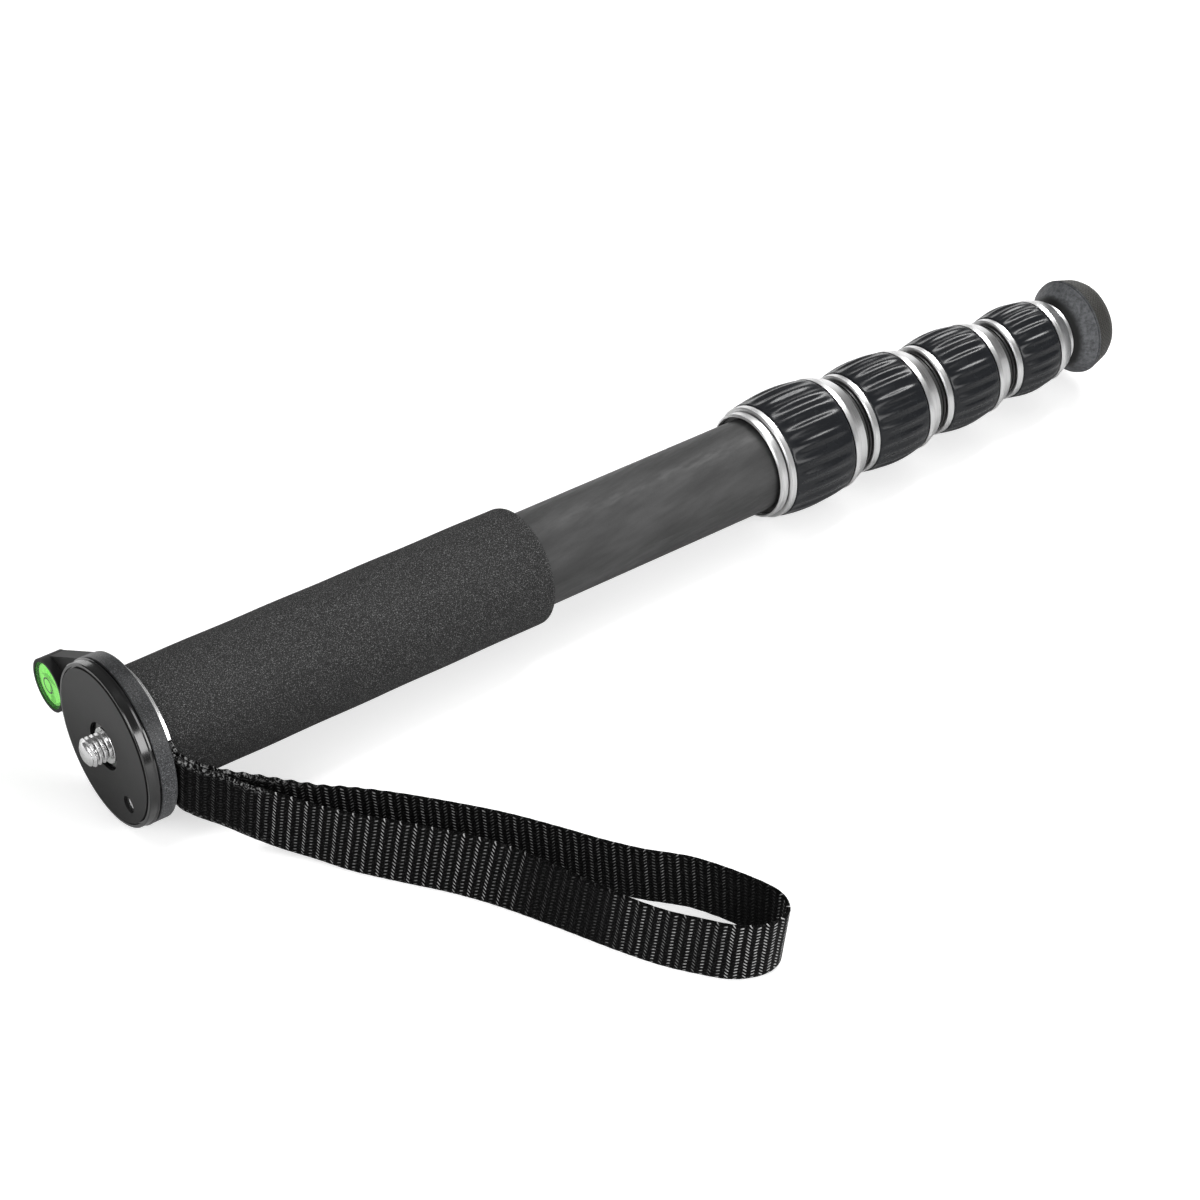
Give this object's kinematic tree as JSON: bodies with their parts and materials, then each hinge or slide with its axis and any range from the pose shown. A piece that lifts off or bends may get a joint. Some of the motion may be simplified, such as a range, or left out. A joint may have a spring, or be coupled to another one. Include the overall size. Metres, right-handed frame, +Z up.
{
  "type": "camera monopod",
  "caption": "Collapsible camera monopod with nested carbon tubes, grooved twist locks, foam grip, round camera plate with stud, bullseye level, rubber foot and wrist strap.",
  "frame": {"origin": "centre of the camera plate's face, on the stud's axis", "axes": "+X along the tubes from the plate to the foot, +Z up as it lies, +Y to the level's ear"},
  "size_m": [0.4098, 0.2181, 0.054],
  "materials": {
    "plate_black": "black anodised, half gloss, bright chamfer",
    "pad_rubber": "matte",
    "steel": "polished",
    "cast_black": "fine textured black",
    "vial_clear": "clear",
    "level_green": "clear green liquid",
    "polished": "polished",
    "satin_metal": "satin, brushed around",
    "webbing": "woven black webbing",
    "foam": "matte foam",
    "carbon": "satin carbon fibre",
    "guide_plastic": "matte",
    "collet_plastic": "matte",
    "grip_rubber": "satin grooved rubber",
    "seal_rubber": "matte",
    "foot_rubber": "satin, knurled rim"
  },
  "bodies": {
    "upper": {"mounting_plate": "plate_black", "plate_pad": "pad_rubber", "camera_stud": "steel", "head_base": "cast_black", "level_vial": "vial_clear", "level_fluid": "level_green", "neck_ring": "polished", "head_plug": "satin_metal", "strap_anchor": "webbing", "foam_grip": "foam", "tube_1": "carbon", "ferrule_1": "satin_metal", "collet_1": "collet_plastic"},
    "grub_screw": {"head_lock_screw": "steel"},
    "strap": {"wrist_strap": "webbing"},
    "grip_1": {"collar_1": "satin_metal", "grip_sleeve_1": "grip_rubber", "wiper_seal_1": "seal_rubber"},
    "grip_2": {"collar_2": "satin_metal", "grip_sleeve_2": "grip_rubber", "wiper_seal_2": "seal_rubber"},
    "grip_3": {"collar_3": "satin_metal", "grip_sleeve_3": "grip_rubber", "wiper_seal_3": "seal_rubber"},
    "grip_4": {"collar_4": "satin_metal", "grip_sleeve_4": "grip_rubber", "wiper_seal_4": "seal_rubber"},
    "section_2": {"tube_2": "carbon", "guide_2": "guide_plastic", "ferrule_2": "satin_metal", "collet_2": "collet_plastic"},
    "section_3": {"tube_3": "carbon", "guide_3": "guide_plastic", "ferrule_3": "satin_metal", "collet_3": "collet_plastic"},
    "section_4": {"tube_4": "carbon", "guide_4": "guide_plastic", "ferrule_4": "satin_metal", "collet_4": "collet_plastic"},
    "section_5": {"tube_5": "carbon", "guide_5": "guide_plastic", "foot_plug": "satin_metal", "foot_stud": "steel", "rubber_foot": "foot_rubber"}
  },
  "joints": [
    {"name": "grub_screw_travel", "type": "slide", "parent": "upper", "child": "grub_screw", "axis": [-1, 0, 0], "range_m": [0, 0.0025]},
    {"name": "strap_swing", "type": "hinge", "parent": "upper", "child": "strap", "pos_m": [0.01705, -0.0295, -0.006], "axis": [0, 0, 1], "range_deg": [-70, 40]},
    {"name": "lock_1_turn", "type": "hinge", "parent": "upper", "child": "grip_1", "pos_m": [0.2647, 0, 0], "axis": [1, 0, 0], "range_deg": [0, 180]},
    {"name": "lock_2_turn", "type": "hinge", "parent": "section_2", "child": "grip_2", "pos_m": [0.3013, 0, 0], "axis": [1, 0, 0], "range_deg": [0, 180]},
    {"name": "lock_3_turn", "type": "hinge", "parent": "section_3", "child": "grip_3", "pos_m": [0.33565, 0, 0], "axis": [1, 0, 0], "range_deg": [0, 180]},
    {"name": "lock_4_turn", "type": "hinge", "parent": "section_4", "child": "grip_4", "pos_m": [0.36785, 0, 0], "axis": [1, 0, 0], "range_deg": [0, 180]},
    {"name": "section_2_slide", "type": "slide", "parent": "upper", "child": "section_2", "axis": [1, 0, 0], "range_m": [0, 0.207]},
    {"name": "section_3_slide", "type": "slide", "parent": "section_2", "child": "section_3", "axis": [1, 0, 0], "range_m": [0, 0.243]},
    {"name": "section_4_slide", "type": "slide", "parent": "section_3", "child": "section_4", "axis": [1, 0, 0], "range_m": [0, 0.276]},
    {"name": "section_5_slide", "type": "slide", "parent": "section_4", "child": "section_5", "axis": [1, 0, 0], "range_m": [0, 0.308]}
  ]
}
